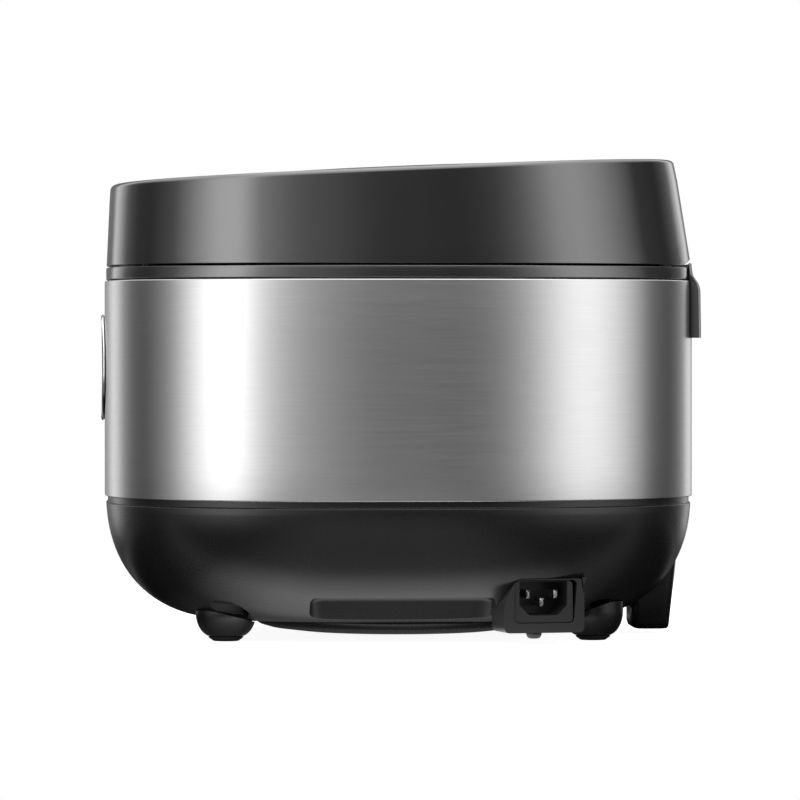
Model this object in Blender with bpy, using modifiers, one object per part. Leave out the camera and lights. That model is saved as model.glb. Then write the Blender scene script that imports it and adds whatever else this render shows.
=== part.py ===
"""A countertop rice cooker: steel-banded body, lift-out pot, sprung lid on a rear hinge, side mains inlet.

Metres, +Z up, front towards -Y. Everything hangs from one empty, so that its box is centred on the origin.
"""

import math

import bmesh
import bpy
from mathutils import Matrix, Vector

# ---------------------------------------------------------------- driving dimensions (metres)
BODY_HALF_X = 0.131
BODY_HALF_Y = 0.148
BODY_EXPONENT = 2.7
REAR_TAPER = 0.03
SEGMENTS = 40
GAP = 0.0003

FLOOR_Z = 0.0095
BOWL_TOP_Z = 0.0674
BOWL_CURVE_TOP_Z = 0.0715
BOWL_RUN_IN = 0.0573
BOWL_INSET = 0.0007
BOWL_EXPONENT = 2.2
NECK_INSET = 0.0016
NECK_TOP_Z = 0.080
SHELL_WALL = 0.0025

BAND_BOTTOM_Z = 0.0705
BAND_TOP_Z = 0.1783
BAND_WALL = 0.0008
RING_BOTTOM_Z = 0.1788
RING_TOP_Z = 0.1849
RING_INSET = 0.0008

POT_RADIUS = 0.101
POT_RIM_RADIUS = 0.110
POT_BOTTOM_Z = 0.044
POT_WALL = 0.002
POT_CORNER = 0.022
POT_RIM_TOP_Z = 0.1850
SHIELD_RADIUS = 0.1055
SHIELD_BOTTOM_Z = 0.0300
SHIELD_TOP_Z = 0.1597

LID_BOTTOM_Z = 0.1858
LID_HALF_X = 0.130
LID_HALF_Y = 0.147
LID_TOP_HALF_X = 0.1275
LID_TOP_HALF_Y = 0.142
LID_TOP_SHIFT_Y = -0.0031
LID_TOP_MID_Z = 0.2327
LID_TOP_SLOPE = 0.0437
LID_REAR_LIFT = 0.003
LID_EDGE_RADIUS = 0.0025
LID_WALL = 0.0022
LID_CROWN = 0.0038
LINER_Z = (0.1915, 0.1940)

HINGE_Y = 0.1410
HINGE_Z = 0.1770
PIN_RADIUS = 0.0020
ARM_X = (0.0185, 0.0255)
COVER_HALF_X = 0.050
COVER_PROUD = 0.0043
COVER_STEPS = 12

CONTROL_Z = 0.1348
BEZEL_RADIUS = 0.02675
BEZEL_PROUD = 0.0023

STEAM_Y = 0.068
STEAM_RADIUS = 0.022
RELEASE_Y = -0.127
RELEASE_SIZE = (0.036, 0.014)
LATCH_Y = -0.118
LATCH_Z = 0.203

FEET = {
    "foot_front_right": (0.063, -0.088),
    "foot_front_left": (-0.063, -0.088),
    "foot_rear_right": (0.063, 0.094),
    "foot_rear_left": (-0.063, 0.094),
}
FOOT_RADIUS = 0.0150
FOOT_WIDE_Z = 0.0140
PAD_RADIUS = 0.0062
PAD_TOP_Z = 0.0016
LEG_Y = 0.1305
LEG_BOTTOM_Z = 0.0025

GRIP_WALL_X = 0.0905
GRIP_Y = (-0.048, 0.043)
GRIP_TOP_Z = 0.0232

INLET_Y = 0.0656
INLET_FACE_X = 0.1118
INLET_TURN = math.radians(12)
INLET_CAVITY_Z = 0.0229

BODY_Y = (BEZEL_PROUD - COVER_PROUD) / 2

# ---------------------------------------------------------------- scene, materials and helpers
for old in list(bpy.data.objects):
    bpy.data.objects.remove(old)

PARTS = bpy.data.collections.new("rice_cooker")
CUTTERS = bpy.data.collections.new("cutters")
bpy.context.scene.collection.children.link(PARTS)
bpy.context.scene.collection.children.link(CUTTERS)


def empty(name, location, parent=None):
    """An empty at a place given in its parent's space."""
    made = bpy.data.objects.new(name, None)
    made.location = location
    made.parent = parent
    PARTS.objects.link(made)
    return made


ROOT = empty("cooker_origin", (0, BODY_Y, 0))


def material(name, color, roughness, metallic=0.0):
    """A Principled BSDF with one colour, roughness and metallic value."""
    made = bpy.data.materials.get(name) or bpy.data.materials.new(name)
    made.use_nodes = True
    shader = made.node_tree.nodes["Principled BSDF"]
    shader.inputs["Base Color"].default_value = (*color, 1)
    shader.inputs["Roughness"].default_value = roughness
    shader.inputs["Metallic"].default_value = metallic
    made.diffuse_color = (*color, 1)
    return made


def matte_black():
    return material("matte_black", (0.035, 0.035, 0.036), 0.55)


def gloss_black():
    return material("gloss_black", (0.04, 0.04, 0.042), 0.15)


def brushed_steel():
    return material("brushed_steel", (0.55, 0.55, 0.55), 0.32, 1.0)


def plain_steel():
    return material("plain_steel", (0.62, 0.62, 0.63), 0.35, 1.0)


def chrome():
    return material("chrome", (0.8, 0.8, 0.82), 0.08, 1.0)


def aluminium():
    return material("aluminium", (0.72, 0.72, 0.73), 0.4, 1.0)


def pot_coating():
    return material("pot_coating", (0.07, 0.07, 0.075), 0.35, 0.3)


def silicone():
    return material("silicone", (0.75, 0.75, 0.74), 0.6)


def rubber():
    return material("rubber", (0.03, 0.03, 0.03), 0.8)


def board_green():
    return material("board_green", (0.03, 0.18, 0.08), 0.5)


def smoke_lens():
    return material("smoke_lens", (0.02, 0.025, 0.03), 0.05)


def place(obj, look, parent=None, cutter=False):
    """Links an object under its parent, with its material, in the parts or the cutters."""
    obj.parent = parent or ROOT
    if cutter:
        obj.hide_render = True
        obj.display_type = "WIRE"
        CUTTERS.objects.link(obj)
    else:
        obj.data.materials.append(look)
        PARTS.objects.link(obj)
    return obj


def mesh_object(name, bm, look=None, parent=None, smooth=True, cutter=False):
    """An object from a bmesh, with its faces turned outwards."""
    bmesh.ops.recalc_face_normals(bm, faces=bm.faces)
    mesh = bpy.data.meshes.new(name)
    bm.to_mesh(mesh)
    bm.free()
    if smooth:
        mesh.shade_smooth()
        mesh.set_sharp_from_angle(angle=math.radians(35))
    return place(bpy.data.objects.new(name, mesh), look, parent, cutter)


def cut(obj, *tools, operation="DIFFERENCE"):
    """Boolean modifiers, one for each tool."""
    for tool in tools:
        modifier = obj.modifiers.new(operation.title() + "_" + tool.name, "BOOLEAN")
        modifier.operation = operation
        modifier.object = tool
        modifier.solver = "EXACT"
    return obj


def angles():
    return [2 * math.pi * i / SEGMENTS for i in range(SEGMENTS)]


def round_power(value, power):
    return math.copysign(abs(value) ** power, value)


def outline(half_x, half_y, shift_y=0.0):
    """A superellipse with a slightly narrower rear, as (x, y) points."""
    points = []
    for angle in angles():
        x = half_x * round_power(math.cos(angle), 2 / BODY_EXPONENT)
        y = half_y * round_power(math.sin(angle), 2 / BODY_EXPONENT)
        points.append((x * (1 - REAR_TAPER * y / half_y), y + shift_y))
    return points


def body_ring(inset, z):
    """The body's outline, taken in by inset, at height z."""
    return [Vector((x, y, z)) for x, y in outline(BODY_HALF_X - inset, BODY_HALF_Y - inset)]


def circle_ring(radius, z, y=0.0):
    return [Vector((radius * math.cos(a), radius * math.sin(a) + y, z)) for a in angles()]


def rounded_rectangle(size_x, size_y, radius, steps=3):
    """A rounded rectangle's (x, y) points, anticlockwise, about the origin."""
    points = []
    for turn, (sx, sy) in enumerate(((1, 1), (-1, 1), (-1, -1), (1, -1))):
        for step in range(steps + 1):
            angle = math.pi / 2 * (turn + step / steps)
            x = sx * (size_x / 2 - radius) + radius * math.cos(angle)
            y = sy * (size_y / 2 - radius) + radius * math.sin(angle)
            points.append((x, y))
    return points


def loft(name, rings, look=None, closed=False, parent=None, smooth=True, cutter=False):
    """Quads between rings of equal count: a closed profile makes a frame, an open one a capped solid."""
    bm = bmesh.new()
    loops = [[bm.verts.new(point) for point in ring] for ring in rings]
    pairs = list(zip(loops, loops[1:]))
    if closed:
        pairs.append((loops[-1], loops[0]))
    for low, high in pairs:
        for i, corner in enumerate(low):
            following = (i + 1) % len(low)
            bm.faces.new((corner, low[following], high[following], high[i]))
    if not closed:
        bm.faces.new(loops[0])
        bm.faces.new(loops[-1])
    return mesh_object(name, bm, look, parent, smooth, cutter)


def prism(name, points, low, high, look=None, parent=None, cutter=False):
    """An outline of (x, y) points raised from low to high."""
    rings = [[Vector((x, y, z)) for x, y in points] for z in (low, high)]
    return loft(name, rings, look, parent=parent, smooth=False, cutter=cutter)


def box(name, low, high, look=None, parent=None, cutter=False):
    """A block between two opposite corners."""
    bm = bmesh.new()
    bmesh.ops.create_cube(bm, size=1)
    size = [b - a for a, b in zip(low, high)]
    middle = [(a + b) / 2 for a, b in zip(low, high)]
    bmesh.ops.scale(bm, vec=size, verts=bm.verts)
    bmesh.ops.translate(bm, vec=middle, verts=bm.verts)
    return mesh_object(name, bm, look, parent, smooth=False, cutter=cutter)


def turned(name, profile, look=None, steps=24, ring=False, parent=None, place_at=(0, 0, 0), axis="Z",
           cutter=False):
    """A profile of (radius, height) points, outer side down, turned about Z by a Screw modifier.

    A ring's profile is a closed loop; the other profiles start and end on the axis.
    """
    mesh = bpy.data.meshes.new(name)
    edges = [(i, i + 1) for i in range(len(profile) - 1)]
    if ring:
        edges.append((len(profile) - 1, 0))
    mesh.from_pydata([(radius, 0, height) for radius, height in profile], edges, [])
    obj = place(bpy.data.objects.new(name, mesh), look, parent, cutter)
    obj.location = place_at
    if axis == "Y":
        obj.rotation_euler = (math.radians(90), 0, 0)
    if axis == "X":
        obj.rotation_euler = (0, math.radians(90), 0)
    screw = obj.modifiers.new("Turn", "SCREW")
    screw.axis = "Z"
    screw.angle = 2 * math.pi
    screw.steps = steps
    screw.render_steps = steps
    screw.use_merge_vertices = True
    screw.merge_threshold = 0.00001
    screw.use_smooth_shade = True
    return obj


def disc(radius, low, high):
    """The profile of a plain disc."""
    return [(0, high), (radius, high), (radius, low), (0, low)]


def arc(centre, radius, start, end, steps):
    """Points on an arc, from the start to the end angle in degrees."""
    points = []
    for step in range(steps + 1):
        angle = math.radians(start + (end - start) * step / steps)
        points.append((centre[0] + radius * math.cos(angle), centre[1] + radius * math.sin(angle)))
    return points


def coil(name, turns, radius, wire, length, look, parent=None, place_at=(0, 0, 0), axis="Z"):
    """A helix of round wire, from the parent's point along the axis."""
    curve = bpy.data.curves.new(name, "CURVE")
    curve.dimensions = "3D"
    curve.bevel_depth = wire
    curve.bevel_resolution = 0
    curve.use_fill_caps = True
    count = int(turns * 8) + 1
    spline = curve.splines.new("POLY")
    spline.points.add(count - 1)
    for i in range(count):
        share = i / (count - 1)
        angle = 2 * math.pi * turns * share
        spline.points[i].co = (radius * math.cos(angle), radius * math.sin(angle), length * share, 1)
    obj = place(bpy.data.objects.new(name, curve), look, parent)
    obj.location = place_at
    if axis == "X":
        obj.rotation_euler = (0, math.radians(90), 0)
    return obj


# ---------------------------------------------------------------- base
def bowl_rings(inset=0.0, lift=0.0, top=NECK_TOP_Z, steps=8):
    """The lower housing's sections, from the floor up the bowl's curve to the neck inside the band."""
    rings = []
    for step in range(steps + 1):
        angle = math.pi / 2 * (1 - step / steps)
        run_in = BOWL_RUN_IN * (1 - math.cos(angle) ** (2 / BOWL_EXPONENT))
        drop = (BOWL_CURVE_TOP_Z - FLOOR_Z) * math.sin(angle) ** (2 / BOWL_EXPONENT)
        z = BOWL_CURVE_TOP_Z - drop
        if z < BOWL_TOP_Z - 0.002:
            rings.append(body_ring(BOWL_INSET + run_in + inset, z + lift))
    rings.append(body_ring(BOWL_INSET + inset, BOWL_TOP_Z))
    rings.append(body_ring(NECK_INSET + inset, BOWL_TOP_Z + (0 if inset else GAP)))
    rings.append(body_ring(NECK_INSET + inset, top))
    return rings


def grip_cutter(name, side, grow):
    """The block that a hand-grip recess takes out of the bowl's side, grown for the inner wall."""
    back = GRIP_WALL_X - grow
    depth = 0.060
    width = GRIP_Y[1] - GRIP_Y[0] + 2 * grow
    middle = (side * (back + depth / 2), sum(GRIP_Y) / 2)
    points = [(x + middle[0], y + middle[1]) for x, y in rounded_rectangle(depth, width, 0.008 + grow)]
    return prism(name, points, -0.010, GRIP_TOP_Z + grow, cutter=True)


def inlet_frame():
    """The empty on the inlet's face, its +X pointing out of the cooker's side."""
    frame = empty("inlet_face", (INLET_FACE_X, INLET_Y, 0), ROOT)
    frame.rotation_euler = (0, 0, INLET_TURN)
    return frame


def inlet_outline(grow=0.0):
    """The inlet housing's outline seen from outside, as (y, z) points, with one slanted upper corner."""
    front, rear, low, high = -0.0199, 0.0199, 0.0066, 0.0335
    points = [(rear + grow, high + grow), (front + 0.0062 - grow, high + grow)]
    points += [(front + 0.0012 - grow, 0.0235), (front - grow, 0.0180)]
    points += arc((front + 0.0035, low + 0.0035), 0.0035 + grow, 180, 270, 3)
    points += arc((rear - 0.0035, low + 0.0035), 0.0035 + grow, 270, 360, 3)
    return points


def side_prism(name, points, near, far, look=None, parent=None, cutter=False):
    """An outline of (y, z) points drawn out along X."""
    rings = [[Vector((x, y, z)) for y, z in points] for x in (near, far)]
    return loft(name, rings, look, parent=parent, smooth=False, cutter=cutter)


def base_shell(inlet_face):
    """The matte lower bowl: an outer solid less its inside, hand grips, floor opening and inlet hole."""
    shell = loft("base_shell", bowl_rings(), matte_black())
    inside = loft("base_inside", bowl_rings(SHELL_WALL, SHELL_WALL, NECK_TOP_Z + 0.003), cutter=True)
    grips = []
    for side, word in ((1, "right"), (-1, "left")):
        grips.append(grip_cutter("grip_" + word, side, 0))
        cut(inside, grip_cutter("grip_wall_" + word, side, SHELL_WALL))
    opening = turned("floor_opening", disc(0.060, 0, 0.020), cutter=True)
    hole = side_prism("inlet_hole", inlet_outline(GAP), -0.0223, 0.020, parent=inlet_face, cutter=True)
    return cut(shell, *grips, inside, opening, hole)


def bowl_envelope():
    """The bowl's outside grown by a hair, which the feet, the leg and the inlet are trimmed by."""
    return loft("bowl_envelope", bowl_rings(-GAP, -GAP, 0.09), cutter=True)


def feet(envelope):
    """Four domed feet under the bowl, each with its rubber pad."""
    dome = []
    for step in range(6):
        angle = math.pi / 2 * (1 - step / 5)
        swell = (FOOT_RADIUS - PAD_RADIUS) * math.sin(angle)
        dome.append((PAD_RADIUS + swell, FOOT_WIDE_Z - (FOOT_WIDE_Z - PAD_TOP_Z - GAP) * math.cos(angle)))
    profile = [(0, 0.034), (FOOT_RADIUS, 0.034), *dome, (0, dome[-1][1])]
    for name, (x, y) in FEET.items():
        foot = turned(name, profile, matte_black(), steps=20, place_at=(x, y, 0))
        cut(foot, envelope)
        pad = [(0, PAD_TOP_Z), (PAD_RADIUS, PAD_TOP_Z), (PAD_RADIUS - 0.0004, 0), (0, 0)]
        turned(name.replace("foot", "pad"), pad, rubber(), steps=16, place_at=(x, y, 0))


def rear_leg(envelope):
    """The tapered centre leg that stops the cooker tipping back when its lid is open."""
    rings = []
    sections = ((LEG_BOTTOM_Z, 0.0150, 0.0086), (0.004, 0.0160, 0.0092), (0.060, 0.0185, 0.0102))
    for z, half_x, half_y in sections:
        points = rounded_rectangle(2 * half_x, 2 * half_y, 0.006)
        rings.append([Vector((x, y + LEG_Y, z)) for x, y in points])
    return cut(loft("rear_leg", rings, matte_black()), envelope)


def bottom_cover():
    """The round dished plate under the floor opening."""
    top = FLOOR_Z - GAP
    profile = [(0, top), (0.068, top), (0.068, 0.0068), (0.0664, 0.0056), (0.060, 0.0045)]
    profile += [(0.042, 0.0037), (0, 0.0035)]
    return turned("bottom_cover", profile, matte_black(), steps=SEGMENTS)


def base_screws():
    """The pan heads of the four screws that hold the base shell."""
    top, depth, radius = FLOOR_Z - GAP, 0.0022, 0.0032
    places = [(x, y) for x in (-0.036, 0.036) for y in (-0.079, 0.079)]
    for number, (x, y) in enumerate(places, 1):
        head = [(0, top), (radius, top), (radius * 0.75, top - depth), (0, top - depth)]
        turned(f"base_screw_{number}", head, plain_steel(), steps=10, place_at=(x, y, 0))


def inlet(frame):
    """The inlet's frame, its socket insert with a keyed cavity, and three flat pins."""
    housing = side_prism("inlet_housing", inlet_outline(), -0.022, 0, matte_black(), frame)
    window = [(-0.0150, 0.0108), (0.0154, 0.0108), (0.0154, 0.0318), (-0.0150, 0.0318)]
    cut(housing, side_prism("inlet_window", window, -0.040, 0.010, parent=frame, cutter=True))
    block = [(-0.0146, 0.0112), (0.0146, 0.0112), (0.0146, 0.0314), (-0.0146, 0.0314)]
    insert = side_prism("inlet_socket", block, -0.0218, -0.0006, matte_black(), frame)
    low, high, half, corner = INLET_CAVITY_Z - 0.0083, INLET_CAVITY_Z + 0.0083, 0.0121, 0.0050
    cavity = [(-half, high), (-half, low + corner), (-half + corner, low)]
    cavity += [(half - corner, low), (half, low + corner), (half, high)]
    cut(insert, side_prism("inlet_cavity", cavity, -0.020, 0.005, parent=frame, cutter=True))
    places = {"live": (-0.007, 0.002), "neutral": (0.007, 0.002), "earth": (0, -0.002)}
    for name, (y, lift) in places.items():
        z = INLET_CAVITY_Z + lift
        low_corner, high_corner = (-0.0196, y - 0.001, z - 0.002), (-0.0024, y + 0.001, z + 0.002)
        box("inlet_pin_" + name, low_corner, high_corner, plain_steel(), frame)
    bump = [(0, 0.0063), (0.0037, 0.0063), (0.0037, 0.0042), (0.0028, 0.0031), (0, 0.0031)]
    turned("inlet_stud", bump, matte_black(), steps=16, parent=frame, place_at=(-0.010, -0.0035, 0))


# ---------------------------------------------------------------- body
def steel_band(hinge_notch, control_hole):
    """The brushed steel sleeve, its edges rolled in."""
    edge = 0.0007
    outer = [body_ring(edge, BAND_BOTTOM_Z), body_ring(0, BAND_BOTTOM_Z + edge)]
    outer += [body_ring(0, BAND_TOP_Z - edge), body_ring(edge, BAND_TOP_Z)]
    inner = [body_ring(edge + BAND_WALL, BAND_TOP_Z), body_ring(BAND_WALL, BAND_TOP_Z - edge)]
    inner += [body_ring(BAND_WALL, BAND_BOTTOM_Z + edge), body_ring(edge + BAND_WALL, BAND_BOTTOM_Z)]
    return cut(loft("steel_band", outer + inner, brushed_steel(), closed=True), hinge_notch, control_hole)


def upper_ring(hinge_notch):
    """The rim between band and lid: outer edge, pot ledge and the skirt round the pot."""
    ledge_z, under_z, skirt_z = POT_RIM_TOP_Z - 0.0022, 0.1798, 0.1600
    rings = [body_ring(RING_INSET + 0.003, RING_BOTTOM_Z), body_ring(RING_INSET, RING_BOTTOM_Z)]
    rings += [body_ring(RING_INSET, RING_TOP_Z - 0.0006), body_ring(RING_INSET + 0.0006, RING_TOP_Z)]
    rings += [circle_ring(0.1115, RING_TOP_Z), circle_ring(0.1115, ledge_z), circle_ring(0.1035, ledge_z)]
    rings += [circle_ring(0.1035, skirt_z), circle_ring(0.1058, skirt_z), circle_ring(0.1058, under_z)]
    rings += [body_ring(RING_INSET + 0.003, under_z)]
    slot = box("latch_slot", (-0.009, -0.1355, 0.17), (0.009, -0.1215, 0.19), cutter=True)
    return cut(loft("upper_ring", rings, gloss_black(), closed=True), hinge_notch, slot)


def rear_y(x, inset=0.0):
    """The body outline's rearmost y at a distance x from the middle."""
    share = abs(x) / ((BODY_HALF_X - inset) * (1 - REAR_TAPER))
    return (BODY_HALF_Y - inset) * (1 - share ** BODY_EXPONENT) ** (1 / BODY_EXPONENT)


def hinge_cover():
    """The dark rear cover below the hinge, bent to the body, its middle lowered for the hinge arms."""
    section = [(GAP, 0.1497), (0.0040, 0.1497), (COVER_PROUD, 0.1504), (0.0040, 0.1735)]
    section += [(0.0009, 0.1826), (GAP, 0.1826)]
    rings = []
    for step in range(COVER_STEPS + 1):
        x = COVER_HALF_X * (2 * step / COVER_STEPS - 1)
        rings.append([Vector((x, rear_y(x) + out, z)) for out, z in section])
    cover = loft("hinge_cover", rings, matte_black())
    for side, word in ((-1, "left"), (1, "right")):
        inner, outer = sorted((side * ARM_X[0] - side * 0.0010, side * ARM_X[1] + side * 0.0010))
        cut(cover, box("cover_slot_" + word, (inner, 0.14, 0.1730), (outer, 0.16, 0.19), cutter=True))
    return cover


def ear_outline(radius, foot_z, half_y):
    """A hinge ear seen from the side, as (y, z) points: a round head on the pin and a square foot."""
    head = arc((HINGE_Y, HINGE_Z), radius, -10, 190, 10)
    return [(HINGE_Y + half_y, foot_z), *head, (HINGE_Y - half_y, foot_z)]


def pin_bore(name, half_x, parent=None):
    """The cutter that leaves a running clearance round the hinge pin."""
    bore = disc(PIN_RADIUS + 0.0001, -half_x, half_x)
    return turned(name, bore, steps=16, parent=parent, place_at=(0, HINGE_Y, HINGE_Z), axis="X", cutter=True)


def union_pieces(name, pieces, look, parent=None):
    """The first piece joined with the others by Boolean unions."""
    whole = pieces[0]
    whole.name = name
    whole.data.materials.append(look)
    CUTTERS.objects.unlink(whole)
    PARTS.objects.link(whole)
    whole.hide_render = False
    whole.display_type = "TEXTURED"
    whole.parent = parent or ROOT
    return cut(whole, *pieces[1:], operation="UNION")


def hinge_bracket():
    """The steel bracket inside the rear of the rim: a shelf, a flange and four ears round the pin."""
    pieces = [box("bracket_shelf", (-0.0290, 0.1285, 0.1690), (0.0290, 0.1452, 0.1710), cutter=True)]
    pieces.append(box("bracket_flange", (-0.0290, 0.1265, 0.1500), (0.0290, 0.1287, 0.1710), cutter=True))
    for number, x in enumerate((-0.0290, -0.0175, 0.0145, 0.0260)):
        ear = ear_outline(0.0037, 0.1705, 0.0034)
        pieces.append(side_prism(f"bracket_ear_{number}", ear, x, x + 0.0030, cutter=True))
    bracket = union_pieces("hinge_bracket", pieces, plain_steel())
    cut(bracket, pin_bore("bracket_bore", 0.035))
    turned("hinge_pin", disc(PIN_RADIUS, -0.0292, 0.0292), plain_steel(), steps=16,
           place_at=(0, HINGE_Y, HINGE_Z), axis="X")
    spring_end = (-0.013, HINGE_Y, HINGE_Z)
    coil("hinge_spring", 8, 0.0031, 0.0005, 0.026, plain_steel(), place_at=spring_end, axis="X")


# ---------------------------------------------------------------- heating and pot
def heat_shield():
    """The sheet bucket that holds the heating plate and guides the pot."""
    wall = 0.0009
    profile = [(SHIELD_RADIUS, SHIELD_TOP_Z), (SHIELD_RADIUS, SHIELD_BOTTOM_Z + 0.010)]
    profile += [(SHIELD_RADIUS - 0.010, SHIELD_BOTTOM_Z), (0.030, SHIELD_BOTTOM_Z)]
    profile += [(0.030, SHIELD_BOTTOM_Z + wall), (SHIELD_RADIUS - 0.0104, SHIELD_BOTTOM_Z + wall)]
    profile += [(SHIELD_RADIUS - wall, SHIELD_BOTTOM_Z + 0.0104)]
    profile += [(SHIELD_RADIUS - wall, SHIELD_TOP_Z)]
    return turned("heat_shield", profile, aluminium(), steps=SEGMENTS, ring=True)


def heating():
    """The cast heating plate with its ring element below, and the sprung sensor in the middle."""
    plate = [(0.078, 0.0432), (0.078, 0.0385), (0.019, 0.0385), (0.019, 0.0432)]
    turned("heating_plate", plate, aluminium(), steps=32, ring=True)
    section = arc((0.055, 0.0346), 0.0035, 90, -225, 7)
    turned("heater_element", section, plain_steel(), steps=28, ring=True)


def sensor():
    """The spring-loaded temperature sensor that touches the pot's underside."""
    seat = empty("sensor_axis", (0, 0, 0.0437), ROOT)
    cap = [(0, 0), (0.0155, 0), (0.0165, -0.0010), (0.0165, -0.0090)]
    cap += [(0.0150, -0.0090), (0.0150, -0.0020), (0, -0.0020)]
    turned("sensor_cap", cap, aluminium(), parent=seat)
    coil("sensor_spring", 5, 0.0100, 0.0006, 0.0180, plain_steel(), parent=seat, place_at=(0, 0, -0.0212))
    cup = [(0, 0.0213), (0.0175, 0.0213), (0.0175, 0.0300)]
    cup += [(0.0185, 0.0300), (0.0185, 0.0200), (0, 0.0200)]
    turned("sensor_cup", cup, plain_steel())


def inner_pot():
    """The lift-out pot with a turned-out rim and a rounded bottom corner."""
    seat = empty("pot_axis", (0, 0, POT_BOTTOM_Z), ROOT)
    rim = POT_RIM_TOP_Z - POT_BOTTOM_Z
    inner = POT_RADIUS - POT_WALL
    bend = (POT_RADIUS - POT_CORNER, POT_CORNER)
    inside = arc(bend, POT_CORNER - POT_WALL, 0, -90, 4)
    outside = arc(bend, POT_CORNER, 0, -90, 4)
    profile = [(0, POT_WALL), *reversed(inside), (inner, rim - 0.0030), (inner + 0.0025, rim)]
    profile += [(POT_RIM_RADIUS, rim), (POT_RIM_RADIUS, rim - 0.0016)]
    profile += [(POT_RADIUS, rim - 0.0019), *outside, (0, 0)]
    return turned("inner_pot", profile, pot_coating(), steps=SEGMENTS, parent=seat)


# ---------------------------------------------------------------- controls
def front_disc(name, profile, look, z=CONTROL_Z, x=0.0, steps=28, ring=False, cutter=False, parent=None):
    """A turned piece whose axis points out of the cooker's front."""
    base = parent or ROOT
    spot = (0, 0, 0) if parent else (x, -BODY_HALF_Y, z)
    return turned(name, profile, look, steps, ring, base, spot, axis="Y", cutter=cutter)


BUTTONS = {
    "start_button": (0.0, -0.0085, 0.0056),
    "menu_button": (-0.0128, -0.0045, 0.0036),
    "cancel_button": (0.0128, -0.0045, 0.0036),
}
DISPLAY_SIZE = (0.0240, 0.0100)
DISPLAY_LIFT = 0.0070


def controls():
    """The round control unit: bezel, dished face, display window, three buttons, housing and board."""
    outer, inner = BEZEL_RADIUS, 0.0225
    bezel = [(outer - 0.0012, BEZEL_PROUD), (outer, BEZEL_PROUD - 0.0012), (outer, 0.0003), (0.0235, 0.0003)]
    bezel += [(0.0235, -0.0080), (0.0220, -0.0080), (0.0220, 0.0006), (inner + 0.0006, BEZEL_PROUD - 0.0006)]
    front_disc("control_bezel", bezel, chrome(), steps=32, ring=True)
    dish = [(0, -0.0012), (0.012, -0.0009), (0.0216, 0.0002), (0.0216, -0.0030), (0, -0.0030)]
    face = front_disc("control_face", dish, gloss_black(), steps=28)
    window = rounded_rectangle(*DISPLAY_SIZE, 0.002)
    depth = (-BODY_HALF_Y + 0.0032, -BODY_HALF_Y - 0.004)
    hole = [[Vector((x, y, z + CONTROL_Z + DISPLAY_LIFT)) for x, z in window] for y in depth]
    cut(face, loft("display_hole", hole, smooth=False, cutter=True))
    lens = rounded_rectangle(DISPLAY_SIZE[0] - 2 * GAP, DISPLAY_SIZE[1] - 2 * GAP, 0.0018)
    lens_depth = (-BODY_HALF_Y + 0.0028, -BODY_HALF_Y + 0.0007)
    rings = [[Vector((x, y, z + CONTROL_Z + DISPLAY_LIFT)) for x, z in lens] for y in lens_depth]
    loft("display_window", rings, smoke_lens(), smooth=False)
    for name, (x, z, radius) in BUTTONS.items():
        seat = empty(name + "_axis", (x, -BODY_HALF_Y, CONTROL_Z + z), ROOT)
        cap = [(0, 0.0006), (radius - 0.0005, 0.0006), (radius, 0.0001), (radius, -0.0040), (0, -0.0040)]
        front_disc(name, cap, plain_steel(), steps=16, parent=seat)
        hole = disc(radius + GAP, -0.010, 0.010)
        cut(face, front_disc(name + "_hole", hole, None, z=CONTROL_Z + z, x=x, steps=16, cutter=True))
    cup = [(0, -0.0250), (0.0226, -0.0250), (0.0226, -0.0083)]
    cup += [(0.0240, -0.0083), (0.0240, -0.0265), (0, -0.0265)]
    front_disc("control_housing", cup, matte_black(), steps=24)
    front_disc("control_board", disc(0.0205, -0.0074, -0.0058), board_green())


def power_board():
    """The upright power board between the control unit and the heat shield, with its larger parts."""
    box("power_board", (-0.040, -0.1145, 0.060), (0.040, -0.1129, 0.104), board_green())
    box("transformer", (-0.036, -0.1290, 0.068), (-0.016, -0.1148, 0.088), matte_black())
    box("relay", (-0.004, -0.1270, 0.070), (0.010, -0.1148, 0.086), matte_black())


def mains_lead():
    """The insulated lead from the inlet's tabs, under the heat shield, up to the power board."""
    curve = bpy.data.curves.new("mains_lead", "CURVE")
    curve.dimensions = "3D"
    curve.bevel_depth = 0.0012
    curve.bevel_resolution = 1
    curve.use_fill_caps = True
    route = [(0.079, 0.052, 0.0215), (0.070, 0.040, 0.0190), (0.060, 0.010, 0.0180)]
    route += [(0.056, -0.030, 0.0180), (0.052, -0.070, 0.0180), (0.046, -0.098, 0.0230)]
    route += [(0.038, -0.1125, 0.0360), (0.034, -0.1137, 0.0590)]
    spline = curve.splines.new("POLY")
    spline.points.add(len(route) - 1)
    for point, spot in zip(spline.points, route):
        point.co = (*spot, 1)
    return place(bpy.data.objects.new("mains_lead", curve), rubber())


# ---------------------------------------------------------------- lid
def lid_top_z(y):
    """The height of the lid's sloping top edge."""
    return LID_TOP_MID_Z + LID_TOP_SLOPE * y


def lid_bottom_z(y):
    """The height of the lid's lower edge, which lifts at the rear to clear the hinge."""
    share = min(max((y - 0.1385) / 0.0075, 0), 1)
    return LID_BOTTOM_Z + LID_REAR_LIFT * share


def lid_ring(share, inset, drop=0.0):
    """A section of the lid's wall: share 0 at the lower edge, 1 at the top edge less drop."""
    low = outline(LID_HALF_X - inset, LID_HALF_Y - inset)
    high = outline(LID_TOP_HALF_X - inset, LID_TOP_HALF_Y - inset, LID_TOP_SHIFT_Y)
    ring = []
    for (x0, y0), (x1, y1) in zip(low, high):
        z = lid_bottom_z(y0) * (1 - share) + lid_top_z(y1) * share - drop
        ring.append(Vector((x0 * (1 - share) + x1 * share, y0 * (1 - share) + y1 * share, z)))
    return ring


def crown(inset):
    """How far the top panel stands over the lid's edge plane at a distance in from the edge."""
    share = min(inset / LID_TOP_HALF_X, 1)
    return LID_CROWN * share * share * (3 - 2 * share)


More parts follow.
